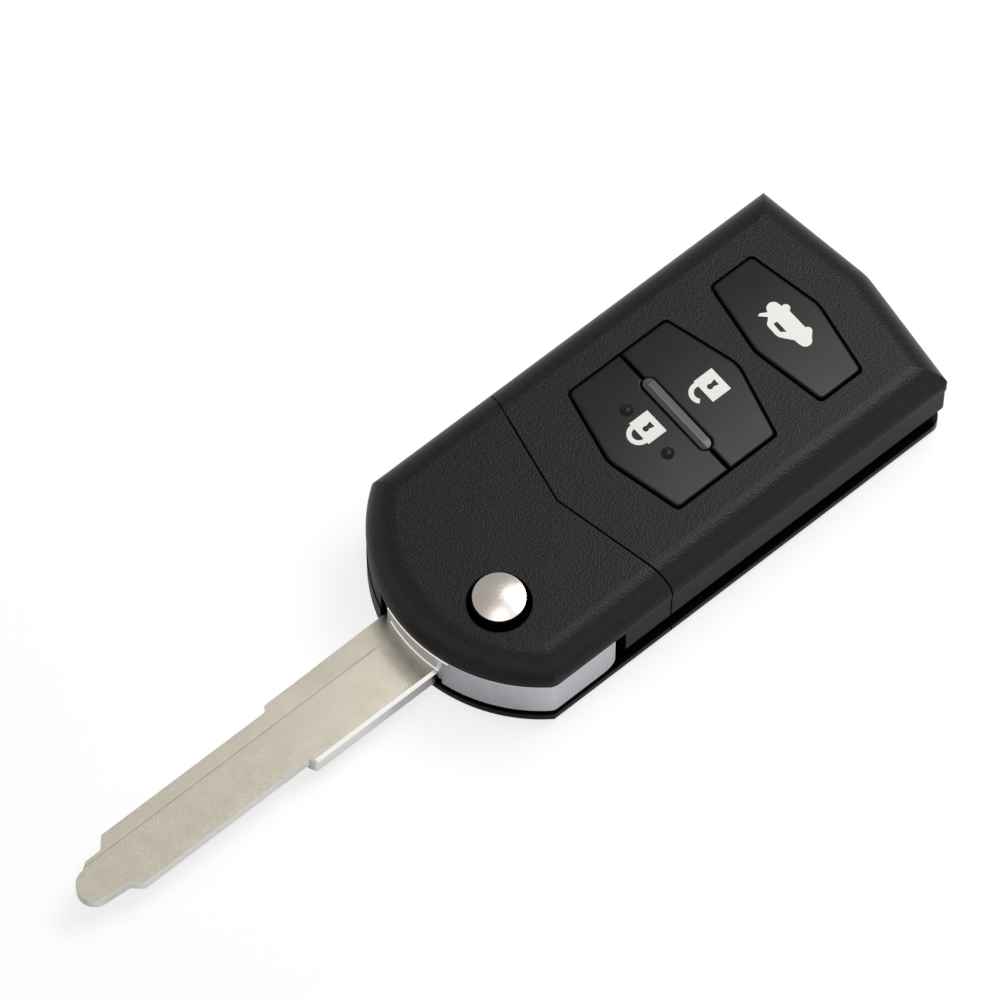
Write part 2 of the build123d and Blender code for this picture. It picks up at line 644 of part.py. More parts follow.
def shank_plan():
    """Outline of the blade's shank: slanted steps to a short neck and a round tip."""
    neck_x = SHANK_END_X - NECK_SLANT
    plan = make_face(Polyline(
        (BASE_END_X, SHANK_LOW_Y), (BASE_END_X, SHANK_HIGH_Y), (SHANK_END_X, SHANK_HIGH_Y),
        (neck_x, NECK_HIGH_Y), (TIP_X + TIP_NECK_GAP, NECK_HIGH_Y), (TIP_X, TIP_Y + TIP_RADIUS),
        (TIP_X, TIP_Y - TIP_RADIUS), (neck_x, NECK_LOW_Y), (SHANK_END_X, SHANK_LOW_Y), close=True))
    steps = [v for v in plan.vertices() if TIP_X + FUSE < v.X < BASE_END_X - FUSE]
    return fillet(steps, NECK_ROUND) + Pos(TIP_X, TIP_Y) * Circle(TIP_RADIUS)


def blade_step():
    """Milled-off strip along the blade's upper side, which starts as a shallow ramp."""
    full_z = BLADE_TOP_Z - GROOVE_DEPTH
    profile = make_face(Polyline(
        (GROOVE_START_X, BLADE_TOP_Z), (GROOVE_START_X, REACH), (-REACH, REACH), (-REACH, full_z),
        (GROOVE_START_X - GROOVE_RUN, full_z), close=True))
    upright = Plane(origin=(0, REACH, 0), x_dir=(1, 0, 0), z_dir=(0, -1, 0))
    return extrude(upright * profile, REACH - GROOVE_Y)


def make_key_blade():
    """Flat steel blade: base with shoulders, shank, round tip and tang."""
    base_z = (BLADE_TOP_Z - BASE_THICKNESS, BLADE_TOP_Z)
    base_plan = make_face(Polyline(
        (0, BASE_LOW_Y), (0, BASE_HIGH_Y), (BASE_END_X, BASE_HIGH_Y),
        (BASE_END_X - SHOULDER_SLANT, SHANK_HIGH_Y), (BASE_END_X - SHOULDER_SLANT, SHANK_LOW_Y),
        (BASE_END_X, BASE_LOW_Y), close=True))
    shoulders = [v for v in base_plan.vertices() if abs(v.X - BASE_END_X) < FUSE / 2]
    base_plan = fillet(shoulders, SHOULDER_ROUND)
    root_line = holder_plan(MOUTH_RECESS + MOUTH_DEPTH - BLADE_FIT)
    base = prism(base_plan - root_line - Pos(REACH / 2, 0) * Rectangle(REACH, REACH), *base_z)
    shank = prism(shank_plan(), BLADE_TOP_Z - SHANK_THICKNESS, BLADE_TOP_Z)
    tang = block((HOLDER_CORNER_X, TANG_END_X), (TANG_LOW_Y, TANG_HIGH_Y), base_z)
    blade = base + shank + tang - blade_step()
    return blade - rod(PIN_X, PIN_Y, PIN_RADIUS + PIN_FIT, 0, REACH)


def make_blade_pin():
    """Roll pin that locks the tang in the holder."""
    return ring(PIN_X, PIN_Y, PIN_BORE_RADIUS, PIN_RADIUS, HOLDER_BOTTOM_Z, PIN_TOP_Z)


def make_release_button():
    """Chrome button with a skirt that slides in the holder's bore."""
    top_z = CASE_THICKNESS + BUTTON_RAISE
    cap = rod(0, 0, BUTTON_RADIUS, BUTTON_UNDER_Z, top_z)
    cap = fillet(top_edges(cap), BUTTON_EDGE_ROUND)
    dome_radius = (BUTTON_RADIUS ** 2 + BUTTON_DOME ** 2) / (2 * BUTTON_DOME)
    cap &= Pos(0, 0, top_z - dome_radius) * Sphere(dome_radius)
    skirt_radius = BORE_RADIUS - RUNNING_FIT
    skirt_bottom = BUTTON_FLANGE_TOP_Z - BUTTON_SKIRT_LENGTH
    button = cap + rod(0, 0, skirt_radius, BUTTON_UNDER_Z, BUTTON_FLANGE_TOP_Z)
    button += ring(
        0, 0, skirt_radius - BUTTON_SKIRT_WALL, skirt_radius, skirt_bottom, BUTTON_UNDER_Z)
    button += rod(0, 0, BUTTON_STEM_RADIUS, BUTTON_UNDER_Z - BUTTON_STEM_LENGTH, BUTTON_UNDER_Z)
    spline_z = (skirt_bottom, skirt_bottom + SPLINE_LENGTH)
    for side in (-1, 1):
        outer_x = side * (BORE_RADIUS + SPLINE_REACH)
        inner_x = side * (skirt_radius - BUTTON_SKIRT_WALL / 2)
        button += block(
            (min(outer_x, inner_x), max(outer_x, inner_x)),
            (-SPLINE_WIDTH / 2, SPLINE_WIDTH / 2), spline_z)
    return button


def make_flip_spring():
    """Coil spring between the floor of the head and the release button."""
    low = FLOOR + SPRING_END_GAP + SPRING_WIRE_RADIUS
    height = BUTTON_UNDER_Z - SPRING_END_GAP - SPRING_WIRE_RADIUS - low
    path = Helix(pitch=height / SPRING_TURNS, height=height, radius=SPRING_COIL_RADIUS)
    wire = RegularPolygon(SPRING_WIRE_RADIUS, SPRING_WIRE_SIDES)
    section = Plane(origin=path @ 0, z_dir=path % 0) * wire
    return Pos(0, 0, low) * sweep(section, path=path, is_frenet=True)


def make_bearing_washer():
    """Thin washer under the holder."""
    return ring(
        0, 0, LOWER_COLLAR_RADIUS - WASHER_WIDTH, LOWER_COLLAR_RADIUS - RUNNING_FIT,
        FLOOR, FLOOR + WASHER_THICKNESS)


def key_solid(body_plan, lip_plan):
    """Key cap with an eased top edge and a lip that holds it under the plate."""
    body = prism(body_plan, KEY_BOTTOM_Z, KEY_TOP_Z)
    body = fillet(top_edges(body), KEY_EDGE_ROUND)
    return body + prism(lip_plan, KEY_BOTTOM_Z, KEY_LIP_TOP_Z)


def bar_slot():
    """Notch that both paired keys leave for the indicator bar."""
    return Pos(PAIR_SPLIT_X, BAR_Y) * SlotOverall(
        BAR_LENGTH + 2 * BAR_GAP, BAR_WIDTH + 2 * BAR_GAP, rotation=90)


def pair_key(side):
    """Lock key for side -1, unlock key for side 1."""
    edge_x = PAIR_SPLIT_X + side * KEY_GAP / 2
    half_plane = Pos(edge_x + side * REACH / 2, CENTRE_LINE_Y) * Rectangle(REACH, REACH)
    body_plan = (pair_plan(KEY_GROW) & half_plane) - bar_slot()
    lip_plan = (pair_plan(LIP_GROW) & half_plane) - bar_slot()
    return key_solid(body_plan, lip_plan)


def make_lock_key():
    """Lock key with two raised bumps for the thumb."""
    key = pair_key(-1)
    ball_radius = (BUMP_RADIUS ** 2 + BUMP_HEIGHT ** 2) / (2 * BUMP_HEIGHT)
    for y in (CENTRE_LINE_Y - BUMP_SPREAD, CENTRE_LINE_Y + BUMP_SPREAD):
        key += Pos(BUMP_X, y, KEY_TOP_Z + BUMP_HEIGHT - ball_radius) * Sphere(ball_radius)
    return key


def make_unlock_key():
    """Unlock key."""
    return pair_key(1)


def make_trunk_key():
    """Trunk key in its own window."""
    return key_solid(trunk_plan(KEY_GROW), trunk_plan(LIP_GROW))


def make_indicator_bar():
    """Bevelled bar between the paired keys, seated through the mat."""
    outline = Pos(PAIR_SPLIT_X, BAR_Y) * SlotOverall(BAR_LENGTH, BAR_WIDTH, rotation=90)
    bar = prism(outline, MAT_BOTTOM_Z, CASE_THICKNESS + BAR_RAISE)
    bar = chamfer(top_edges(bar), BAR_BEVEL)
    shoulder = Pos(PAIR_SPLIT_X, BAR_Y) * Rectangle(
        BAR_WIDTH + 2 * BAR_SHOULDER, BAR_LENGTH)
    return bar + prism(shoulder, MAT_TOP_Z, MAT_TOP_Z + BAR_SHOULDER_THICKNESS)


def make_keypad_mat():
    """Rubber mat with a raised border and a pad under each key."""
    bridge = Pos((MAT_BRIDGE_LOW_X + MAT_BRIDGE_HIGH_X) / 2, CENTRE_LINE_Y) * Rectangle(
        MAT_BRIDGE_HIGH_X - MAT_BRIDGE_LOW_X, 2 * MAT_BRIDGE_HALF_WIDTH)
    outer = pair_plan(MAT_OUTER_GROW) + trunk_plan(MAT_OUTER_GROW) + bridge
    inner = pair_plan(MAT_INNER_GROW) + trunk_plan(MAT_INNER_GROW)
    mat = prism(outer, MAT_BOTTOM_Z, MAT_TOP_Z)
    mat += prism(outer - inner, MAT_TOP_Z, KEY_LIP_TOP_Z)
    for x in DOME_XS:
        mat += rod(x, CENTRE_LINE_Y, DOME_RADIUS, MAT_TOP_Z, MAT_TOP_Z + DOME_HEIGHT)
    slot = Pos(PAIR_SPLIT_X, BAR_Y) * Rectangle(
        BAR_WIDTH + BAR_GAP, BAR_LENGTH + BAR_GAP)
    return mat - prism(slot, MAT_BOTTOM_Z - 1, MAT_TOP_Z + 1)


def make_board_frame():
    """Open frame that carries the circuit board under the mat."""
    low_y = SLOT_SIDE_Y + WALL + FRAME_SIDE_GAP
    high_y = FAR_SIDE_Y - WALL - FRAME_SIDE_GAP
    z_range = (SHELF_TOP_Z, MAT_BOTTOM_Z - COVER_GAP)
    frame = block((FRAME_NEAR_X, FRAME_FAR_X), (low_y, high_y), z_range)
    hollow_x = (FRAME_NEAR_X + FRAME_WALL, FRAME_FAR_X - FRAME_WALL)
    hollow_y = (low_y + FRAME_WALL, high_y - FRAME_WALL)
    frame -= block(hollow_x, hollow_y, (SHELF_TOP_Z + FRAME_LEDGE_THICKNESS, REACH))
    return frame - block(
        (hollow_x[0] + FRAME_LEDGE, hollow_x[1] - FRAME_LEDGE),
        (hollow_y[0] + FRAME_LEDGE, hollow_y[1] - FRAME_LEDGE), (0, REACH))


def clip_room():
    """Floor space kept clear for the chip clip."""
    half_length = CLIP_LENGTH / 2 + FUSE
    half_width = CLIP_WIDTH / 2 + FUSE
    return block(
        (CLIP_X - half_length, CLIP_X + half_length), (CLIP_Y - half_width, CLIP_Y + half_width),
        (FLOOR, SLOT_ROOF_Z))


def make_chip_clip():
    """Small tray that holds the transponder chip in the head."""
    half_length = CLIP_LENGTH / 2
    half_width = CLIP_WIDTH / 2
    tray = block(
        (CLIP_X - half_length, CLIP_X + half_length), (CLIP_Y - half_width, CLIP_Y + half_width),
        (FLOOR, FLOOR + CLIP_HEIGHT))
    return tray - block(
        (CLIP_X - half_length + CLIP_WALL, CLIP_X + half_length - CLIP_WALL),
        (CLIP_Y - half_width + CLIP_WALL, CLIP_Y + half_width - CLIP_WALL),
        (FLOOR + CLIP_WALL, REACH))


def sector(radius, start, sweep_angle):
    """Pie slice about the battery cover's axis, angles in degrees."""
    steps = [start, start + sweep_angle / 2, start + sweep_angle]
    rim = [(COVER_X + radius * cos(radians(a)), COVER_Y + radius * sin(radians(a))) for a in steps]
    centre = (COVER_X, COVER_Y)
    return make_face(Line(centre, rim[0]) + ThreePointArc(*rim) + Line(rim[2], centre))


def cover_tabs(outer_radius, tab_angle, turn, low, high):
    """The ring of bayonet tabs, or the notches they enter by."""
    solids = []
    for index in range(COVER_TABS):
        start = index * 360 / COVER_TABS + 90 + turn - tab_angle / 2
        solids.append(prism(sector(outer_radius, start, tab_angle), low, high))
    core = rod(COVER_X, COVER_Y, COVER_NECK_RADIUS - COVER_NECK_WALL / 2, low - 1, high + 1)
    return Part() + solids - core


def make_battery_cover():
    """Round hatch with a coin slot outside and bayonet tabs inside."""
    flange_top = COVER_SINK + COVER_FLANGE
    disc_top = COVER_SINK + COVER_DISC
    tab_low = FLOOR + COVER_TAB_GAP
    tab_high = tab_low + COVER_TAB_THICKNESS
    cover = rod(COVER_X, COVER_Y, COVER_RADIUS, COVER_SINK, flange_top)
    cover += rod(COVER_X, COVER_Y, COVER_NECK_RADIUS, COVER_SINK, disc_top)
    cover += ring(
        COVER_X, COVER_Y, COVER_NECK_RADIUS - COVER_NECK_WALL, COVER_NECK_RADIUS,
        disc_top - FUSE, tab_high)
    cover += cover_tabs(
        COVER_NECK_RADIUS + COVER_TAB_REACH, COVER_TAB_ANGLE, 0, tab_low, tab_high)
    cover -= ring(
        COVER_X, COVER_Y, COVER_NECK_RADIUS - SEAL_WIDTH, COVER_NECK_RADIUS + FUSE,
        flange_top, flange_top + SEAL_THICKNESS)
    coin = SlotOverall(COIN_SLOT_LENGTH, COIN_SLOT_WIDTH)
    return cover - prism(Pos(COVER_X, COVER_Y) * coin, 0, COVER_SINK + COIN_SLOT_DEPTH)


def make_battery_seal():
    """Rubber ring in the groove of the battery cover."""
    low = COVER_SINK + COVER_FLANGE
    return ring(
        COVER_X, COVER_Y, COVER_NECK_RADIUS - SEAL_WIDTH, COVER_NECK_RADIUS + COVER_FIT / 2,
        low, low + SEAL_THICKNESS)


def make_all():
    """Every sub-part of the shell, by name."""
    shell = case_envelope() - case_cavity()
    return {
        "head_top_cover": make_head_top_cover(shell),
        "head_bottom_cover": make_head_bottom_cover(shell),
        "remote_top_cover": make_remote_top_cover(shell),
        "remote_bottom_cover": make_remote_bottom_cover(shell),
        "blade_holder": make_blade_holder(),
        "key_blade": make_key_blade(),
        "blade_pin": make_blade_pin(),
        "bearing_washer": make_bearing_washer(),
        "release_button": make_release_button(),
        "flip_spring": make_flip_spring(),
        "chip_clip": make_chip_clip(),
        "lock_key": make_lock_key(),
        "unlock_key": make_unlock_key(),
        "trunk_key": make_trunk_key(),
        "indicator_bar": make_indicator_bar(),
        "keypad_mat": make_keypad_mat(),
        "board_frame": make_board_frame(),
        "battery_cover": make_battery_cover(),
        "battery_seal": make_battery_seal(),
        "case_screws": screw_group(HEAD_SCREW_PLACES + REMOTE_SCREW_PLACES, CASE_SCREW_LENGTH),
        "joining_screws": screw_group(JOINING_SCREW_PLACES, JOINING_SCREW_LENGTH),
    }


os.makedirs("parts", exist_ok=True)
for name, shape in make_all().items():
    export_step(shape, f"parts/{name}.step")
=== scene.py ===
"""Looks of the folding key shell: finishes, icons, spring, trim and screws, light and camera."""
from math import asin, cos, degrees, pi, radians, sin

import bmesh
import bpy
from mathutils import Matrix, Vector

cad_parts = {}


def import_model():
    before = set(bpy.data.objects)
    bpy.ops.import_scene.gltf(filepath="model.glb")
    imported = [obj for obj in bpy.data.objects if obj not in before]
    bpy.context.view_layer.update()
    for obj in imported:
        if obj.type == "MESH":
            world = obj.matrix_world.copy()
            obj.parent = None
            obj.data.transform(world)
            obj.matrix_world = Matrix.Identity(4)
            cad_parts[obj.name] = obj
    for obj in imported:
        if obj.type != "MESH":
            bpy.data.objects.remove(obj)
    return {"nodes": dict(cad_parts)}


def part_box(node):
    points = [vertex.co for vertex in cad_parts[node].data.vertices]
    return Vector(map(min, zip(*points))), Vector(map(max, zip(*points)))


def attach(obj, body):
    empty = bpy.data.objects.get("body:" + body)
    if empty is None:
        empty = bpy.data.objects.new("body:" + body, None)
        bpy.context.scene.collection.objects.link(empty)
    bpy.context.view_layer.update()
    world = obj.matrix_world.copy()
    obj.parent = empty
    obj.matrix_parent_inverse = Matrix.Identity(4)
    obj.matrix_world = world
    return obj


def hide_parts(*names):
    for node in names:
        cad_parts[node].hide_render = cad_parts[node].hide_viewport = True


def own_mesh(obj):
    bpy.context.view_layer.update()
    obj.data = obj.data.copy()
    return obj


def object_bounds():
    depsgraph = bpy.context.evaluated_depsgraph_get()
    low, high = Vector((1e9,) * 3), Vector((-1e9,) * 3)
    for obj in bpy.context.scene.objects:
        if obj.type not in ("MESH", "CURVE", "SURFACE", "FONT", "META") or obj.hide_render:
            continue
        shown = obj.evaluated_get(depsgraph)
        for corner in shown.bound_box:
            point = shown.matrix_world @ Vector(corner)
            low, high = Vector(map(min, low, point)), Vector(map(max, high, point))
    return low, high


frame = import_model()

CAD_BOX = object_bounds()
MM = 0.001

# Camera, as fitted to the photograph; all lengths are in mm, here and below
CAMERA_TILT = radians(26.744)
CAMERA_TURN = radians(39.971)
CAMERA_DISTANCE = 1000
AIM_RIGHT = 0.1021
AIM_UP = 20.117
IMAGE_WIDTH = 1000
PIXELS_PER_MM = 7.68945
SENSOR_WIDTH = 36.0

# Lamps that shine straight down: name, place in x and y, size in x and y, and radiance
LAMP_HEIGHT = 316
LAMPS = (
    ("far_right", (197.5, 8.5), (165, 217), 7),
    ("overhead", (10, 5), (100, 80), 4.5))

# Floor
FLOOR_SIZE = 4000
FLOOR_GAP = 0.02

# Levels of the shell
KEY_TOP_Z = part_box("unlock_key")[1].z / MM
BAND_TOP_Z = 10.7
# Below this level the release button is painted black, as shade in its hole
CAP_LOW_Z = 16.75
BLADE_TOP_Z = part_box("key_blade")[1].z / MM
PRINT_THICKNESS = 0.02

# Leather grain of the covers, with its two scales per metre
GRAIN_CELLS_SCALE = 3400
GRAIN_WARP_SCALE = 1500
GRAIN_WARP = 0.3
GRAIN_DEPTH = 0.022

# Reading of CAD meshes
WELD_DISTANCE = 0.001
MATCH_DISTANCE = 0.01

# Spring wire
SPRING_COIL_RADIUS = 3.0
SPRING_WIRE_RADIUS = 0.4
SPRING_TURNS = 6
SPRING_STEPS_PER_TURN = 28

# Rounded front of the head and the holder
FRONT_CENTRE = (12.4, 6.4)
FRONT_RADIUS = 22.7

# Near-white beads along the holder's front, a painted highlight on its rim and foot: name, inset
# from the front, height, radius and both ends in y
MOUTH_HIGHLIGHT_BEADS = (
    ("rim_bead", 0.12, 10.12, 0.17, -0.6, 10.6),
    ("foot_bead", 0.52, 5.62, 0.14, 1.2, 10.6))

# Painted shade: a dark line along the edge of the blade's milled step
STEP_Y = 8.95
STEP_START_X = -13.0
STEP_LOW_Z = BLADE_TOP_Z - 0.6
STEP_SHADE_HALF_WIDTH = 0.06
STEP_SHADE_FADE = 1.0

# Bevel ground along the lower edge of the blade's base
BEVEL_EDGE_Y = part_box("key_blade")[0].y / MM
BEVEL_WIDTH = 0.45

# Indicator bar with a roof-shaped top
BAR_PLACE = (35.1, 6.0)
BAR_WIDTH = 1.7
BAR_LENGTH = 12.8
BAR_RIDGE_X = -0.2
BAR_RIDGE_HALF_WIDTH = 0.05
BAR_RIDGE_HALF_LENGTH = 5.4
BAR_LEFT_SLOPE = 0.5
BAR_RIGHT_SLOPE = 0.14
BAR_END_SLOPE = 0.3
BAR_FALL = 0.03
BAR_SHOULDER_WIDTH = 2.7
BAR_SHOULDER_Z = (12.3, 12.5)

# Cross recesses in the screw heads
CASE_SCREWS = ((-0.4, 20.6), (14.6, 20.6), (63.15, 20.6), (64.35, 3.6))
JOINING_SCREWS = ((23.6, 6.0), (23.6, 19.0))
RECESS_LENGTH = 1.9
RECESS_WIDTH = 0.45
RECESS_TOP_Z = 0.6
CUTTER_LOW_Z = -1.0

# Padlock icons, seen with the blade pointing up
LOCK_PLACE = (29.37, 6.86)
UNLOCK_PLACE = (39.79, 6.18)
PADLOCK_WIDTH = 3.9
PADLOCK_HEIGHT = 3.08
SHACKLE_OUTER = 1.64
SHACKLE_INNER = 0.94
SHACKLE_LEG = 0.3
OPEN_SHACKLE_SHIFT = 0.1
OPEN_SHACKLE_END = 222
KEYHOLE_RADIUS = 0.42
KEYHOLE_DEPTH = 1.17
KEYHOLE_FLARE = 0.5
KEYHOLE_END = 2.27


def principled(name, colour, roughness, metallic=0.0):
    """A new material, its node tree and its surface shader."""
    material = bpy.data.materials.new(name)
    material.use_nodes = True
    tree = material.node_tree
    shader = tree.nodes["Principled BSDF"]
    shader.inputs["Base Color"].default_value = (*colour, 1)
    shader.inputs["Roughness"].default_value = roughness
    shader.inputs["Metallic"].default_value = metallic
    return material, tree, shader


def node(tree, kind, **inputs):
    """A new node with some of its inputs set by name."""
    made = tree.nodes.new(kind)
    for key, value in inputs.items():
        made.inputs[key.replace("_", " ")].default_value = value
    return made


def place(tree, stretch=(1, 1, 1)):
    """Position on the object in metres, with a stretch along each axis."""
    coordinates = tree.nodes.new("ShaderNodeTexCoord")
    mapping = tree.nodes.new("ShaderNodeMapping")
    mapping.inputs["Scale"].default_value = stretch
    tree.links.new(coordinates.outputs["Object"], mapping.inputs["Vector"])
    return mapping.outputs["Vector"]


def noise(tree, vector, size_mm, detail=2.0, roughness=0.5):
    """Noise whose patches are about size_mm across."""
    made = node(tree, "ShaderNodeTexNoise", Scale=1 / (size_mm * MM), Detail=detail,
                Roughness=roughness)
    tree.links.new(vector, made.inputs["Vector"])
    return made.outputs["Fac"]


def remap(tree, value, low, high, to_low, to_high):
    """A value moved from one range to another, clamped."""
    made = tree.nodes.new("ShaderNodeMapRange")
    tree.links.new(value, made.inputs["Value"])
    for key, number in zip(("From Min", "From Max", "To Min", "To Max"),
                           (low, high, to_low, to_high)):
        made.inputs[key].default_value = number
    return made.outputs["Result"]


def combine(tree, operation, first, second):
    """Two values put together by a maths operation; either may be a number."""
    made = tree.nodes.new("ShaderNodeMath")
    made.operation = operation
    for slot, value in enumerate((first, second)):
        if isinstance(value, (int, float)):
            made.inputs[slot].default_value = value
        else:
            tree.links.new(value, made.inputs[slot])
    return made.outputs["Value"]


def bump(tree, shader, height, depth_mm, edge_mm=0.0):
    """Relief of the given depth, over edges that are eased by edge_mm."""
    made = node(tree, "ShaderNodeBump", Strength=1.0, Distance=depth_mm * MM)
    tree.links.new(height, made.inputs["Height"])
    if edge_mm:
        eased = node(tree, "ShaderNodeBevel", Radius=edge_mm * MM)
        tree.links.new(eased.outputs["Normal"], made.inputs["Normal"])
    tree.links.new(made.outputs["Normal"], shader.inputs["Normal"])


def blend_colour(tree, factor, first, second):
    """A colour that runs from first, which may come from a node, to second."""
    made = tree.nodes.new("ShaderNodeMix")
    made.data_type = "RGBA"
    tree.links.new(factor, made.inputs["Factor"])
    if isinstance(first, tuple):
        made.inputs["A"].default_value = (*first, 1)
    else:
        tree.links.new(first, made.inputs["A"])
    made.inputs["B"].default_value = (*second, 1)
    return made.outputs["Result"]


def parts_of(tree, vector):
    """The x, y and z of a vector."""
    split = tree.nodes.new("ShaderNodeSeparateXYZ")
    tree.links.new(vector, split.inputs["Vector"])
    return split.outputs


def above(tree, level_mm, ramp_mm):
    """1 above a level of the shell, from 0 over a short ramp just below it."""
    z = parts_of(tree, place(tree))["Z"]
    return remap(tree, z, (level_mm - ramp_mm) * MM, level_mm * MM, 0, 1)


def step_shade_line(tree):
    """1 along the edge of the milled step on the blade's upper side, else 0: where the blade gets
    a dark line of painted shade.
    """
    parts = parts_of(tree, place(tree))
    away = combine(tree, "ABSOLUTE", combine(tree, "SUBTRACT", parts["Y"], STEP_Y * MM), 0)
    near = remap(tree, away, STEP_SHADE_HALF_WIDTH / 2 * MM, STEP_SHADE_HALF_WIDTH * MM, 1, 0)
    along = remap(
        tree, parts["X"], STEP_START_X * MM, (STEP_START_X - STEP_SHADE_FADE) * MM, 0, 1)
    drawn = combine(tree, "MULTIPLY", near, along)
    return combine(tree, "MULTIPLY", drawn, above(tree, STEP_LOW_Z, ramp_mm=0.1))


def facing_up(tree, low, high, to_low=0, to_high=1):
    """A value that runs from to_low to to_high as the normal's upward part goes low to high."""
    shape = tree.nodes.new("ShaderNodeNewGeometry")
    upward = parts_of(tree, shape.outputs["Normal"])["Z"]
    return remap(tree, upward, low, high, to_low, to_high)


def fine_relief(tree, shader, size_mm, depth_mm, edge_mm, stretch=(1, 1, 1), detail=3.0):
    """An even relief of fine noise, over eased edges."""
    fine = noise(tree, place(tree, stretch), size_mm, detail)
    bump(tree, shader, fine, depth_mm, edge_mm)


def uneven_shine(tree, shader, pattern, low, high):
    """Roughness that follows a noise, mostly between low and high."""
    tree.links.new(remap(tree, pattern, 0.3, 0.7, low, high), shader.inputs["Roughness"])


def leather(tree, where):
    """1 on the swellings of a leather grain and 0 in the creases between them."""
    warp = node(tree, "ShaderNodeTexNoise", Scale=GRAIN_WARP_SCALE, Detail=2.0)
    tree.links.new(where, warp.inputs["Vector"])
    warped = tree.nodes.new("ShaderNodeVectorMath")
    warped.operation = "MULTIPLY_ADD"
    tree.links.new(warp.outputs["Color"], warped.inputs[0])
    warped.inputs[1].default_value = (GRAIN_WARP * MM,) * 3
    tree.links.new(where, warped.inputs[2])
    cells = node(tree, "ShaderNodeTexVoronoi", Scale=GRAIN_CELLS_SCALE)
    tree.links.new(warped.outputs["Vector"], cells.inputs["Vector"])
    return remap(tree, cells.outputs["Distance"], 0.1, 0.8, 1, 0)


def case_material():
    """Charcoal plastic: leather grain on the rounded top, smooth and dull on the side band."""
    material, tree, shader = principled("case_plastic", (0.008, 0.0079, 0.0077), roughness=0.3)
    where = place(tree)
    fine = noise(tree, where, size_mm=0.12, detail=3.0)
    relief = combine(tree, "ADD", leather(tree, where), combine(tree, "MULTIPLY", fine, 0.4))
    relief = combine(tree, "MULTIPLY", relief, above(tree, BAND_TOP_Z, ramp_mm=0.1))
    bump(tree, shader, relief, depth_mm=GRAIN_DEPTH, edge_mm=0.15)
    # Painted shade: the grain's creases take a darker tone than its swellings; the smooth side
    # band below the grain takes that darker tone too.
    tone = blend_colour(tree, relief, (0.0035, 0.0034, 0.0033), (0.012, 0.0118, 0.0116))
    tree.links.new(tone, shader.inputs["Base Color"])
    slope_sheen = facing_up(tree, 0.1, 0.6, to_low=0.05, to_high=0.22)
    flat_loss = facing_up(tree, 0.75, 1, to_high=0.1)
    sheen = combine(tree, "SUBTRACT", slope_sheen, flat_loss)
    tree.links.new(sheen, shader.inputs["Specular IOR Level"])
    uneven_shine(tree, shader, fine, low=0.26, high=0.36)
    return material


def lower_case_material():
    """Smooth black plastic of the lower covers, glossy underneath."""
    material, tree, shader = principled(
        "lower_case_plastic", (0.0035, 0.0035, 0.0035), roughness=0.25)
    fine_relief(tree, shader, size_mm=0.12, depth_mm=0.003, edge_mm=0.1)
    sheen = facing_up(tree, -0.3, -0.05, to_low=0.5, to_high=0.05)
    tree.links.new(sheen, shader.inputs["Specular IOR Level"])
    return material


def key_material():
    """Satin black plastic of the keys."""
    material, tree, shader = principled("key_plastic", (0.0045, 0.0048, 0.006), roughness=0.15)
    fine_relief(tree, shader, size_mm=0.08, depth_mm=0.002, edge_mm=0.08, detail=2.0)
    sheen = facing_up(tree, 0.2, 0.75, to_low=0.02, to_high=0.15)
    tree.links.new(sheen, shader.inputs["Specular IOR Level"])
    uneven_shine(tree, shader, noise(tree, place(tree), size_mm=4.0), low=0.14, high=0.17)
    return material


def bar_material():
    """Smoke-grey satin plastic of the ridge between the keys."""
    material, tree, shader = principled("bar_plastic", (0.035, 0.035, 0.038), roughness=0.22)
    fine_relief(tree, shader, size_mm=0.15, depth_mm=0.01, edge_mm=0.1, stretch=(1, 0.3, 1))
    return material


def moulded_material(name, colour, roughness=0.55):
    """Plain moulded plastic or rubber with a faint texture."""
    material, tree, shader = principled(name, colour, roughness)
    fine_relief(tree, shader, size_mm=0.2, depth_mm=0.012, edge_mm=0.1)
    return material


def holder_material():
    """Satin silver of the blade holder."""
    material, tree, shader = principled(
        "holder_metal", (0.62, 0.62, 0.66), roughness=0.3, metallic=1.0)
    fine_relief(tree, shader, size_mm=0.1, depth_mm=0.003, edge_mm=0.08)
    uneven_shine(tree, shader, noise(tree, place(tree), size_mm=2.5), low=0.24, high=0.36)
    return material


def blade_material():
    """Plated steel with a faint sparkle and fine lines along the blade; its steep sides are
    painted near-white as a highlight, and the milled step has a dark line of painted shade.
    """
    material, tree, shader = principled(
        "blade_steel", (0.45, 0.418, 0.347), roughness=0.22, metallic=1.0)
    where = place(tree)
    lines = noise(tree, place(tree, stretch=(0.05, 1, 1)), size_mm=0.12, detail=3.0)
    specks = noise(tree, where, size_mm=0.16, detail=4.0, roughness=0.7)
    relief = combine(tree, "ADD", combine(tree, "MULTIPLY", lines, 0.5), specks)
    bump(tree, shader, relief, depth_mm=0.014, edge_mm=0.1)
    uneven_shine(tree, shader, specks, low=0.12, high=0.28)
    patches = combine(tree, "MULTIPLY", noise(tree, where, size_mm=3.0), 0.5)
    sparkle = remap(tree, specks, 0.35, 0.65, 0, 0.5)
    bright = combine(tree, "ADD", patches, sparkle)
    tone = blend_colour(tree, bright, (0.39, 0.36, 0.29), (0.51, 0.476, 0.404))
    # Painted shade: a dark line along the edge of the milled step.
    tone = blend_colour(tree, step_shade_line(tree), tone, (0.08, 0.075, 0.07))
    # Painted highlight: the steep sides of the blade get a near-white tone.
    flat = combine(tree, "ADD", facing_up(tree, 0.8, 0.95), facing_up(tree, -0.8, -0.95))
    steep_highlight = combine(tree, "SUBTRACT", 1.0, flat)
    tone = blend_colour(tree, steep_highlight, tone, (0.9, 0.89, 0.87))
    tree.links.new(tone, shader.inputs["Base Color"])
    return material


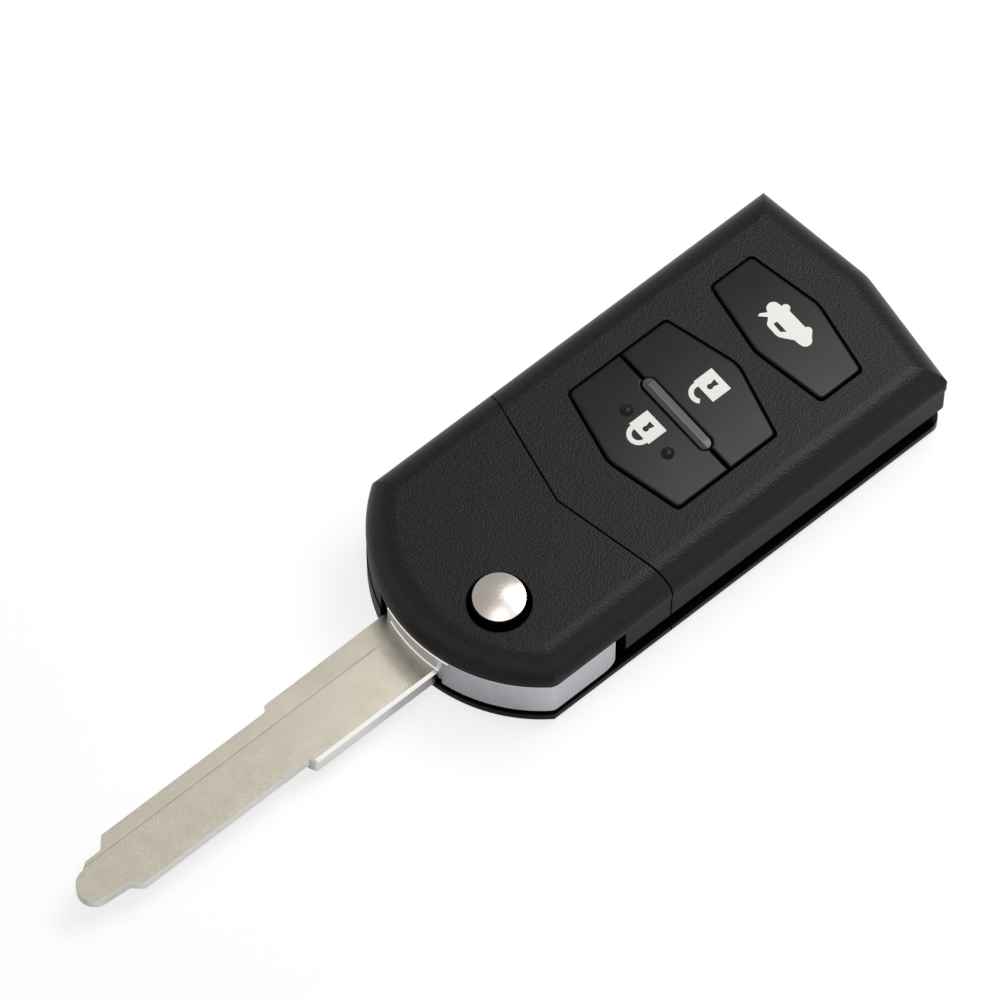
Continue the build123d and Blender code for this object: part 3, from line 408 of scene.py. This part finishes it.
def button_material():
    """Release button: polished chrome cap; below the cap the button is painted black without
    shine, as shade in its hole.
    """
    cap_colour = (0.34, 0.31, 0.285)
    material, tree, shader = principled(
        "button_chrome", cap_colour, roughness=0.2, metallic=1.0)
    wear = noise(tree, place(tree), size_mm=0.25, detail=4.0, roughness=0.7)
    bump(tree, shader, wear, depth_mm=0.0015)
    # Painted shade: below CAP_LOW_Z the button is black, not metal and not shiny.
    chrome_above_shade = above(tree, CAP_LOW_Z, ramp_mm=0.02)
    tone = blend_colour(tree, chrome_above_shade, (0.002, 0.002, 0.002), cap_colour)
    tree.links.new(tone, shader.inputs["Base Color"])
    tree.links.new(chrome_above_shade, shader.inputs["Metallic"])
    tree.links.new(combine(tree, "MULTIPLY", chrome_above_shade, 0.5), shader.inputs["Specular IOR Level"])
    polish = remap(tree, wear, 0.35, 0.7, 0.22, 0.32)
    dull = combine(tree, "MULTIPLY", combine(tree, "SUBTRACT", 1.0, chrome_above_shade), 0.5)
    tree.links.new(combine(tree, "ADD", polish, dull), shader.inputs["Roughness"])
    return material


def steel_material(name, colour, roughness):
    """Plain steel of the small parts."""
    material, tree, shader = principled(name, colour, roughness, metallic=1.0)
    fine_relief(tree, shader, size_mm=0.1, depth_mm=0.003, edge_mm=0.06)
    return material


def print_material():
    """Ivory ink of the icons."""
    material, tree, shader = principled("icon_ink", (0.81, 0.81, 0.77), roughness=0.5)
    patches = noise(tree, place(tree), size_mm=0.5, detail=3.0)
    tone = blend_colour(tree, patches, (0.79, 0.79, 0.74), (0.83, 0.83, 0.79))
    tree.links.new(tone, shader.inputs["Base Color"])
    return material


def dress(material, *names):
    """Gives CAD nodes their finish."""
    for name in names:
        slots = frame["nodes"][name].data.materials
        slots.clear()
        slots.append(material)


def arc(centre, radius, start, end, steps=16):
    """Points of an arc, angles in degrees."""
    angles = [radians(start + (end - start) * i / steps) for i in range(steps + 1)]
    return [(centre[0] + radius * cos(a), centre[1] + radius * sin(a)) for a in angles]


def add(name, data):
    """A new object in the scene."""
    made = bpy.data.objects.new(name, data)
    bpy.context.scene.collection.objects.link(made)
    return made


def show(name, mesh, material, body):
    """A new piece of the shell, with its finish and the body it rides on."""
    mesh.name = name
    mesh.materials.clear()
    mesh.materials.append(material)
    piece = add(name, mesh)
    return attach(piece, body)


def mesh_of(curve):
    """The mesh of a curve."""
    shape = add(curve.name, curve)
    bpy.context.view_layer.update()
    mesh = bpy.data.meshes.new_from_object(shape)
    bpy.data.objects.remove(shape)
    return mesh


def tube(name, points, radius):
    """A round wire along points, in mm."""
    curve = bpy.data.curves.new(name, "CURVE")
    curve.dimensions = "3D"
    curve.bevel_depth = radius * MM
    curve.bevel_resolution = 3
    curve.use_fill_caps = True
    spline = curve.splines.new("POLY")
    spline.points.add(len(points) - 1)
    for point, place_mm in zip(spline.points, points):
        point.co = (*(MM * Vector(place_mm)), 1)
    mesh = mesh_of(curve)
    mesh.shade_smooth()
    return mesh


def mesh_from(shape, name):
    """The mesh of a shape that is complete."""
    mesh = bpy.data.meshes.new(name)
    shape.to_mesh(mesh)
    shape.free()
    return mesh


def welded(name):
    """The shape of a CAD node, with its faces joined along their edges."""
    shape = bmesh.new()
    shape.from_mesh(frame["nodes"][name].data)
    bmesh.ops.remove_doubles(shape, verts=shape.verts, dist=WELD_DISTANCE * MM)
    return shape


def printed(name, outlines, body, material):
    """A thin printed shape on a key, from its outline and the outlines of its holes, in mm."""
    curve = bpy.data.curves.new(name, "CURVE")
    curve.dimensions = "2D"
    curve.fill_mode = "BOTH"
    curve.extrude = PRINT_THICKNESS / 2 * MM
    for outline in outlines:
        spline = curve.splines.new("POLY")
        spline.points.add(len(outline) - 1)
        for point, (x, y) in zip(spline.points, outline):
            point.co = (x * MM, y * MM, 0, 1)
        spline.use_cyclic_u = True
    mesh = mesh_of(curve)
    mesh.transform(Matrix.Translation((0, 0, (KEY_TOP_Z + PRINT_THICKNESS / 2) * MM)))
    show(name, mesh, material, body)


def keyhole(x, y):
    """Round keyhole with a flared foot; x is the padlock's upper edge and y its centre."""
    centre = (x + KEYHOLE_DEPTH, y)
    foot = [(x + KEYHOLE_END, y + KEYHOLE_FLARE), (x + KEYHOLE_END, y - KEYHOLE_FLARE)]
    return arc(centre, KEYHOLE_RADIUS, 320, 40, steps=14) + foot


def padlock_body(x, y, shackle):
    """Padlock outline: three sides of the body and the shackle on its upper edge."""
    half = PADLOCK_WIDTH / 2
    low = x + PADLOCK_HEIGHT
    return [(x, y - half), (low, y - half), (low, y + half), (x, y + half)] + shackle


def closed_padlock(material):
    """Lock icon."""
    x, y = LOCK_PLACE
    outer = arc((x, y), SHACKLE_OUTER, 90, 270)
    inner = arc((x, y), SHACKLE_INNER, 90, 270)
    printed("lock_icon", [padlock_body(x, y, outer), inner, keyhole(x, y)], "lock", material)


def open_padlock(material):
    """Unlock icon: the shackle ends before it comes back to the body."""
    x, y = UNLOCK_PLACE
    centre = (x - SHACKLE_LEG, y + OPEN_SHACKLE_SHIFT)
    outer = arc(centre, SHACKLE_OUTER, 90, OPEN_SHACKLE_END)
    inner = arc(centre, SHACKLE_INNER, OPEN_SHACKLE_END, 90)
    hook = [(x, centre[1] + SHACKLE_OUTER)] + outer + inner + [(x, centre[1] + SHACKLE_INNER)]
    printed("unlock_icon", [padlock_body(x, y, hook), keyhole(x, y)], "unlock", material)


def open_boot_car(material):
    """Trunk icon: a car from the side with its boot lid raised."""
    outline = [(52.5, 10.05), (52.96, 10.22), (53.83, 9.67)]
    outline += arc((54.85, 9.6), 0.95, 150, 20)
    outline += arc((56.08, 8.6), 0.6, 110, -80)
    outline += arc((56.08, 4.2), 0.6, 80, -60)
    outline += arc((54.9, 3.4), 0.95, -20, -150)
    outline += [(53.91, 3.53), (53.85, 4.27), (52.98, 5.39), (52.59, 5.93), (52.48, 6.41)]
    outline += [(52.51, 8.06), (52.64, 8.38), (53.16, 8.81), (53.44, 9.09)]
    window = [(53.9, 7.84), (53.89, 5.87), (53.22, 6.39), (53.31, 7.86)]
    printed("trunk_icon", [outline, window], "trunk", material)


def flip_spring(material):
    """Coil spring in the place of the CAD spring, fixed to the case."""
    low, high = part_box("flip_spring")
    bottom = low.z / MM + SPRING_WIRE_RADIUS
    rise = high.z / MM - SPRING_WIRE_RADIUS - bottom
    steps = SPRING_STEPS_PER_TURN * SPRING_TURNS
    points = []
    for index in range(steps + 1):
        turn = 2 * pi * SPRING_TURNS * index / steps
        points.append((SPRING_COIL_RADIUS * cos(turn), SPRING_COIL_RADIUS * sin(turn),
                       bottom + rise * index / steps))
    mesh = tube("flip_spring_coil", points, SPRING_WIRE_RADIUS)
    piece = show("flip_spring_coil", mesh, material, "case")
    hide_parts("flip_spring")
    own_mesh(piece)


def mouth_highlight_beads(material):
    """Near-white metal beads along the rim and the foot of the holder's front, as a painted
    highlight on its edges.
    """
    for name, inset, z, radius, low_y, high_y in MOUTH_HIGHLIGHT_BEADS:
        reach = FRONT_RADIUS - inset
        ends = [180 - degrees(asin((y - FRONT_CENTRE[1]) / reach)) for y in (low_y, high_y)]
        points = [(x, y, z) for x, y in arc(FRONT_CENTRE, reach, *ends, steps=48)]
        show(name, tube(name, points, radius), material, "blade")


def ground_blade(material):
    """The blade with a bevel ground along the lower edge of its base."""
    shape = welded("key_blade")
    bmesh.ops.dissolve_limit(
        shape, angle_limit=radians(1), verts=shape.verts, edges=shape.edges)
    ground = [edge for edge in shape.edges
              if all(abs(v.co.y / MM - BEVEL_EDGE_Y) < MATCH_DISTANCE for v in edge.verts)
              and all(abs(v.co.z / MM - BLADE_TOP_Z) < MATCH_DISTANCE for v in edge.verts)]
    bmesh.ops.bevel(
        shape, geom=ground, offset=BEVEL_WIDTH * MM, segments=1, profile=0.5, affect="EDGES")
    mesh = mesh_from(shape, "key_blade_ground")
    mesh.shade_flat()
    piece = show("key_blade_ground", mesh, material, "blade")
    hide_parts("key_blade")


def bar_fall(y):
    """Height of the ridge at y: 0 at its upper end, and less towards the blade slot's side."""
    return BAR_FALL * (y - BAR_RIDGE_HALF_LENGTH)


def bar_height(x, y):
    """Height of the bar's roof at a point, against the upper end of the ridge."""
    slope = BAR_RIGHT_SLOPE if x > BAR_RIDGE_X else BAR_LEFT_SLOPE
    end = max(0, abs(y) - BAR_RIDGE_HALF_LENGTH)
    return -slope * abs(x - BAR_RIDGE_X) - BAR_END_SLOPE * end + bar_fall(y)


def ridged_bar(material):
    """Indicator bar with a roof-shaped top and the shoulder that the keys hold down."""
    low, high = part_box("indicator_bar")
    end_radius = BAR_WIDTH / 2
    straight = BAR_LENGTH / 2 - end_radius
    outline = arc((0, straight), end_radius, 0, 180) + arc((0, -straight), end_radius, 180, 360)
    points = [(x, y, low.z / MM) for x, y in outline]
    points += [(x, y, high.z / MM + bar_height(x, y)) for x, y in outline]
    for side in (-1, 1):
        for end in (-1, 1):
            points.append((BAR_RIDGE_X + side * BAR_RIDGE_HALF_WIDTH,
                           end * BAR_RIDGE_HALF_LENGTH,
                           high.z / MM + bar_fall(end * BAR_RIDGE_HALF_LENGTH)))
    shape = bmesh.new()
    for x, y, z in points:
        shape.verts.new(MM * Vector((BAR_PLACE[0] + x, BAR_PLACE[1] + y, z)))
    bmesh.ops.convex_hull(shape, input=shape.verts)
    bmesh.ops.dissolve_limit(
        shape, angle_limit=radians(0.5), verts=shape.verts, edges=shape.edges)
    middle = MM * Vector((*BAR_PLACE, sum(BAR_SHOULDER_Z) / 2))
    size = MM * Vector((BAR_SHOULDER_WIDTH, BAR_LENGTH, BAR_SHOULDER_Z[1] - BAR_SHOULDER_Z[0]))
    bmesh.ops.create_cube(shape, size=1, matrix=Matrix.LocRotScale(middle, None, size))
    mesh = mesh_from(shape, "indicator_ridge")
    piece = show("indicator_ridge", mesh, material, "case")
    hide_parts("indicator_bar")


def cross_cutter(places):
    """Cross-shaped prisms that reach up into the screw heads."""
    arm, half = RECESS_LENGTH / 2, RECESS_WIDTH / 2
    quarter = [(arm, -half), (arm, half), (half, half)]
    outline = quarter + [(-y, x) for x, y in quarter]
    outline += [(-x, -y) for x, y in outline]
    shape = bmesh.new()
    for x, y in places:
        corners = [shape.verts.new(MM * Vector((x + u, y + v, CUTTER_LOW_Z)))
                   for u, v in outline]
        base = shape.faces.new(corners)
        raised = bmesh.ops.extrude_face_region(shape, geom=[base])["geom"]
        tops = [part for part in raised if isinstance(part, bmesh.types.BMVert)]
        bmesh.ops.translate(shape, vec=(0, 0, (RECESS_TOP_Z - CUTTER_LOW_Z) * MM), verts=tops)
    bmesh.ops.recalc_face_normals(shape, faces=shape.faces)
    return mesh_from(shape, "cross_cutter")


def crossed_screws(name, places, material):
    """Screws with a cross recess in each head."""
    plain = name + "_plain"
    whole = add(plain, mesh_from(welded(name), plain))
    cutter = add("cross_cutter", cross_cutter(places))
    cut = whole.modifiers.new("cut", "BOOLEAN")
    cut.operation = "DIFFERENCE"
    cut.solver = "EXACT"
    cut.object = cutter
    bpy.context.view_layer.update()
    shown = whole.evaluated_get(bpy.context.evaluated_depsgraph_get())
    mesh = bpy.data.meshes.new_from_object(shown)
    for part in (whole, cutter):
        bpy.data.objects.remove(part)
    mesh.shade_smooth()
    mesh.set_sharp_from_angle(angle=radians(30))
    piece = show(name + "_crossed", mesh, material, "case")
    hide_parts(name)


def rays(tree, first, *others):
    """1 for rays of the named kinds, else 0."""
    path = tree.nodes.new("ShaderNodeLightPath")
    found = path.outputs[f"Is {first} Ray"]
    for kind in others:
        found = combine(tree, "MAXIMUM", found, path.outputs[f"Is {kind} Ray"])
    return found


def pale(tree, glow, shade):
    """Part of a floor: its own white glow and its share of lit white."""
    own = node(tree, "ShaderNodeEmission", Strength=glow)
    lit = node(tree, "ShaderNodeBsdfDiffuse", Color=(shade, shade, shade, 1))
    both = tree.nodes.new("ShaderNodeAddShader")
    tree.links.new(own.outputs["Emission"], both.inputs[0])
    tree.links.new(lit.outputs["BSDF"], both.inputs[1])
    return both.outputs["Shader"]


def pick(tree, factor, first, second):
    """The second shader where the factor is 1, else the first."""
    mixed = tree.nodes.new("ShaderNodeMixShader")
    tree.links.new(factor, mixed.inputs["Fac"])
    tree.links.new(first, mixed.inputs[1])
    tree.links.new(second, mixed.inputs[2])
    return mixed.outputs["Shader"]


def floor():
    """Pale floor that shows white, with a faint shadow under the shell."""
    level = CAD_BOX[0].z - FLOOR_GAP * MM
    bpy.ops.mesh.primitive_plane_add(size=FLOOR_SIZE * MM, location=(0, 0, level))
    plane = bpy.context.object
    plane.name = "floor"
    material = bpy.data.materials.new("floor")
    material.use_nodes = True
    tree = material.node_tree
    tree.nodes.clear()
    mirrored = rays(tree, "Glossy", "Transmission")
    shown = pick(tree, mirrored, pale(tree, glow=0, shade=0.8), pale(tree, glow=0.08, shade=0.85))
    shown = pick(tree, rays(tree, "Camera"), shown, pale(tree, glow=0.78, shade=0.3))
    output = tree.nodes.new("ShaderNodeOutputMaterial")
    tree.links.new(shown, output.inputs["Surface"])
    plane.data.materials.append(material)


def world():
    """White to the eye and in mirrors, and a soft even light on the object."""
    sky = bpy.data.worlds.new("studio")
    bpy.context.scene.world = sky
    sky.use_nodes = True
    tree = sky.node_tree
    tree.nodes.clear()
    white = (1, 1, 1, 1)
    light = node(tree, "ShaderNodeBackground", Color=white, Strength=0.3)
    shown = node(tree, "ShaderNodeBackground", Color=white, Strength=1.0)
    output = tree.nodes.new("ShaderNodeOutputWorld")
    seen = rays(tree, "Camera", "Glossy", "Transmission")
    mixed = pick(tree, seen, light.outputs["Background"], shown.outputs["Background"])
    tree.links.new(mixed, output.inputs["Surface"])


def softbox(name, centre, size, radiance):
    """A rectangular area light above the shell that shines straight down."""
    lamp = bpy.data.lights.new(name, "AREA")
    lamp.shape = "RECTANGLE"
    lamp.size, lamp.size_y = size[0] * MM, size[1] * MM
    lamp.energy = radiance * pi * lamp.size * lamp.size_y
    add(name, lamp).location = MM * Vector((*centre, LAMP_HEIGHT))


def camera():
    """Long lens that looks down on the shell from its blade end."""
    right = Vector((cos(CAMERA_TURN), -sin(CAMERA_TURN), 0))
    up = Vector((sin(CAMERA_TURN) * cos(CAMERA_TILT), cos(CAMERA_TURN) * cos(CAMERA_TILT),
                 sin(CAMERA_TILT)))
    back = right.cross(up)
    lens = bpy.data.cameras.new("camera")
    lens.sensor_width = SENSOR_WIDTH
    lens.lens = SENSOR_WIDTH * CAMERA_DISTANCE * PIXELS_PER_MM / IMAGE_WIDTH
    lens.clip_start = 10 * MM
    holder = add("camera", lens)
    pose = Matrix((right, up, back)).transposed().to_4x4()
    pose.translation = MM * (AIM_RIGHT * right + AIM_UP * up + CAMERA_DISTANCE * back)
    holder.matrix_world = pose
    bpy.context.scene.camera = holder


dress(case_material(), "head_top_cover", "remote_top_cover")
dress(lower_case_material(), "head_bottom_cover", "remote_bottom_cover")
dress(key_material(), "lock_key", "unlock_key", "trunk_key")
ridged_bar(bar_material())
dress(holder_material(), "blade_holder")
# Painted highlight: near-white beads stand in for the bright edges of the holder's front.
mouth_highlight_beads(steel_material("bead_highlight_metal", (0.95, 0.95, 0.95), roughness=0.2))
ground_blade(blade_material())
dress(button_material(), "release_button")
dress(steel_material("pin_steel", (0.45, 0.45, 0.45), roughness=0.35), "blade_pin")
dress(steel_material("washer_steel", (0.5, 0.5, 0.5), roughness=0.3), "bearing_washer")
screw_steel = steel_material("screw_steel", (0.35, 0.35, 0.36), roughness=0.3)
crossed_screws("case_screws", CASE_SCREWS, screw_steel)
crossed_screws("joining_screws", JOINING_SCREWS, screw_steel)
dress(moulded_material("frame_plastic", (0.02, 0.02, 0.02)), "board_frame")
dress(moulded_material("clip_plastic", (0.025, 0.025, 0.025)), "chip_clip")
dress(moulded_material("cover_plastic", (0.017, 0.0165, 0.016), roughness=0.45), "battery_cover")
dress(moulded_material("mat_rubber", (0.04, 0.04, 0.042), roughness=0.7), "keypad_mat")
dress(moulded_material("seal_rubber", (0.01, 0.01, 0.01), roughness=0.6), "battery_seal")
ink = print_material()
closed_padlock(ink)
open_padlock(ink)
open_boot_car(ink)
flip_spring(steel_material("spring_steel", (0.4, 0.4, 0.41), roughness=0.3))

floor()
world()
for lamp in LAMPS:
    softbox(*lamp)
camera()
bpy.context.scene.view_settings.view_transform = "Standard"
